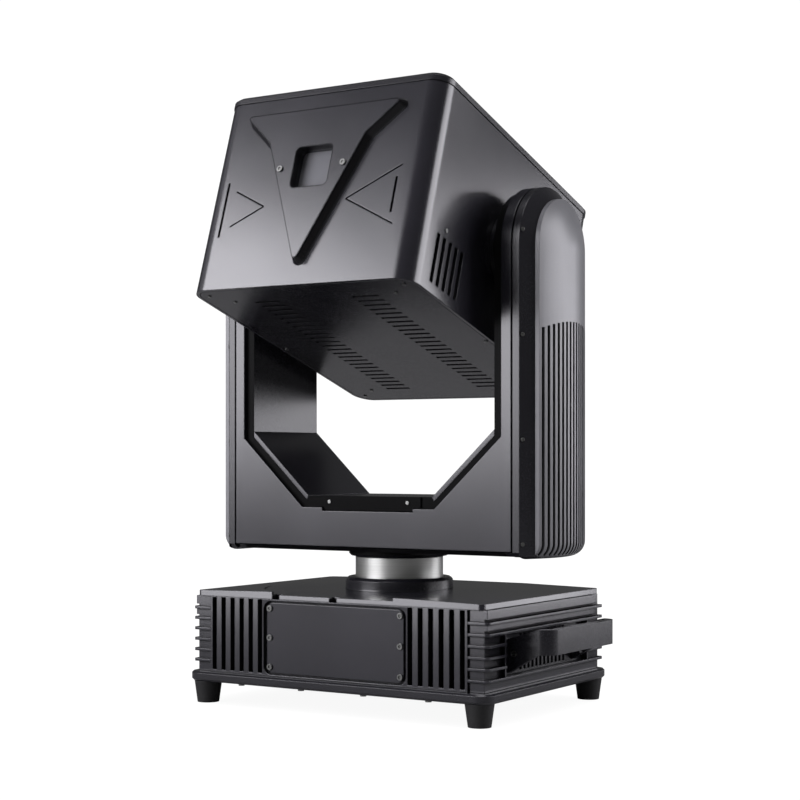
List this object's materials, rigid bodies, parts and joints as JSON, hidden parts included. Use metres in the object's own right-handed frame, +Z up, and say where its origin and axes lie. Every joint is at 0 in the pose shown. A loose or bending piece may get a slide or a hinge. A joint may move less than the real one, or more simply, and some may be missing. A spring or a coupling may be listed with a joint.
{
  "type": "moving-head laser show projector",
  "caption": "Stage laser projector: boxed head tilting in a U-shaped yoke that pans on a finned base with feet and side handles.",
  "frame": {"origin": "centre of the part's footprint, on the floor under the rubber feet", "axes": "+Z up along the pan axis, -Y towards the front panel, +X along the tilt axle to the right"},
  "size_m": [0.4824, 0.4273, 0.6917],
  "materials": {
    "dark_paint": "satin anthracite paint",
    "black_paint": "fine black paint",
    "grey_paint": "satin grey paint",
    "silver": "turned and brushed",
    "foot_rubber": "matt",
    "screw_steel": "bright",
    "clear_glass": "coated",
    "display_glass": "polished",
    "black_plastic": "fine grain",
    "belt_rubber": "matt",
    "board": "lacquered",
    "bare_metal": "machined",
    "motor_metal": "black oxide",
    "scan_mirror": "polished"
  },
  "bodies": {
    "base": {"base_tray": "black_paint", "rubber_feet": "foot_rubber", "front_wall": "dark_paint", "rear_wall": "dark_paint", "front_panel": "dark_paint", "rear_panel": "dark_paint", "base_screws": "screw_steel", "side_wall_right": "dark_paint", "side_wall_left": "dark_paint", "handle_right": "black_paint", "handle_left": "black_paint", "top_cover": "dark_paint", "pan_flange": "black_paint", "pan_bearing": "screw_steel", "pan_motor": "motor_metal", "pan_belt": "belt_rubber", "power_supply": "bare_metal", "control_board": "board", "fan_frame": "black_plastic", "power_inlet": "black_plastic", "data_sockets": "silver", "display_window": "display_glass", "key_switch": "screw_steel"},
    "yoke": {"pan_collar": "silver", "pan_pulley": "bare_metal", "yoke_frame": "black_paint", "yoke_front_cover": "dark_paint", "yoke_rear_cover": "dark_paint", "yoke_floor_cover": "black_paint", "slope_plates": "dark_paint", "arm_bezels": "black_paint", "arm_fin_cover_right": "grey_paint", "arm_fin_cover_left": "grey_paint", "yoke_screws": "screw_steel", "tilt_bearings": "screw_steel", "tilt_motor": "motor_metal", "tilt_belt": "belt_rubber"},
    "head": {"head_shell": "dark_paint", "head_cap": "black_paint", "head_bottom_plate": "black_paint", "vee_spacer": "black_paint", "vee_plate": "dark_paint", "aperture_glass": "clear_glass", "head_heat_sink": "black_paint", "head_screws": "screw_steel", "trunnions": "black_paint", "tilt_pulley": "bare_metal", "optical_bench": "bare_metal", "laser_module": "bare_metal", "scanner_block": "bare_metal"},
    "pan_pinion": {"pan_pinion": "bare_metal"},
    "tilt_pinion": {"tilt_pinion": "bare_metal"},
    "fan_rotor": {"fan_rotor": "black_plastic"},
    "mirror_lower": {"mirror_lower": "scan_mirror"},
    "mirror_upper": {"mirror_upper": "scan_mirror"},
    "key_barrel": {"key_barrel": "screw_steel"},
    "menu_button_back": {"menu_button_back": "black_plastic"},
    "menu_button_down": {"menu_button_down": "black_plastic"},
    "menu_button_up": {"menu_button_up": "black_plastic"},
    "menu_button_enter": {"menu_button_enter": "black_plastic"}
  },
  "joints": [
    {"name": "pan", "type": "hinge", "parent": "base", "child": "yoke", "pos_m": [0, 0, 0.169], "axis": [0, 0, 1], "range_deg": [-270, 270]},
    {"name": "tilt", "type": "hinge", "parent": "yoke", "child": "head", "pos_m": [0, 0, 0.5115], "axis": [-1, 0, 0], "range_deg": [-62.9, 207.1]},
    {"name": "pan_pinion_spin", "type": "hinge", "parent": "base", "child": "pan_pinion", "pos_m": [0.12, 0, 0.096], "axis": [0, 0, 1], "range_deg": [-1350, 1350]},
    {"name": "tilt_pinion_spin", "type": "hinge", "parent": "yoke", "child": "tilt_pinion", "pos_m": [-0.183, 0, 0.2005], "axis": [-1, 0, 0], "range_deg": [-251.6, 828.4]},
    {"name": "fan_spin", "type": "hinge", "parent": "base", "child": "fan_rotor", "pos_m": [0.1777, 0, 0.0727], "axis": [1, 0, 0], "continuous": true},
    {"name": "mirror_lower_scan", "type": "hinge", "parent": "head", "child": "mirror_lower", "pos_m": [0, -0.13685, 0.56673], "axis": [0, 0.9516, -0.3074], "range_deg": [-12, 12], "stiffness_Nm_per_rad": 0.002},
    {"name": "mirror_upper_scan", "type": "hinge", "parent": "head", "child": "mirror_upper", "pos_m": [0, -0.13162, 0.58291], "axis": [1, 0, 0], "range_deg": [-12, 12], "stiffness_Nm_per_rad": 0.002},
    {"name": "key_turn", "type": "hinge", "parent": "base", "child": "key_barrel", "pos_m": [0.046, 0.135, 0.0644], "axis": [0, -1, 0], "range_deg": [0, 90]},
    {"name": "menu_button_back_press", "type": "slide", "parent": "base", "child": "menu_button_back", "axis": [0, -1, 0], "range_m": [0, 0.001], "stiffness_N_per_m": 800},
    {"name": "menu_button_down_press", "type": "slide", "parent": "base", "child": "menu_button_down", "axis": [0, -1, 0], "range_m": [0, 0.001], "stiffness_N_per_m": 800},
    {"name": "menu_button_up_press", "type": "slide", "parent": "base", "child": "menu_button_up", "axis": [0, -1, 0], "range_m": [0, 0.001], "stiffness_N_per_m": 800},
    {"name": "menu_button_enter_press", "type": "slide", "parent": "base", "child": "menu_button_enter", "axis": [0, -1, 0], "range_m": [0, 0.001], "stiffness_N_per_m": 800}
  ],
  "couplings": [
    {"joint": "pan_pinion_spin", "follows": "pan", "ratio": 5},
    {"joint": "tilt_pinion_spin", "follows": "tilt", "ratio": 4}
  ]
}
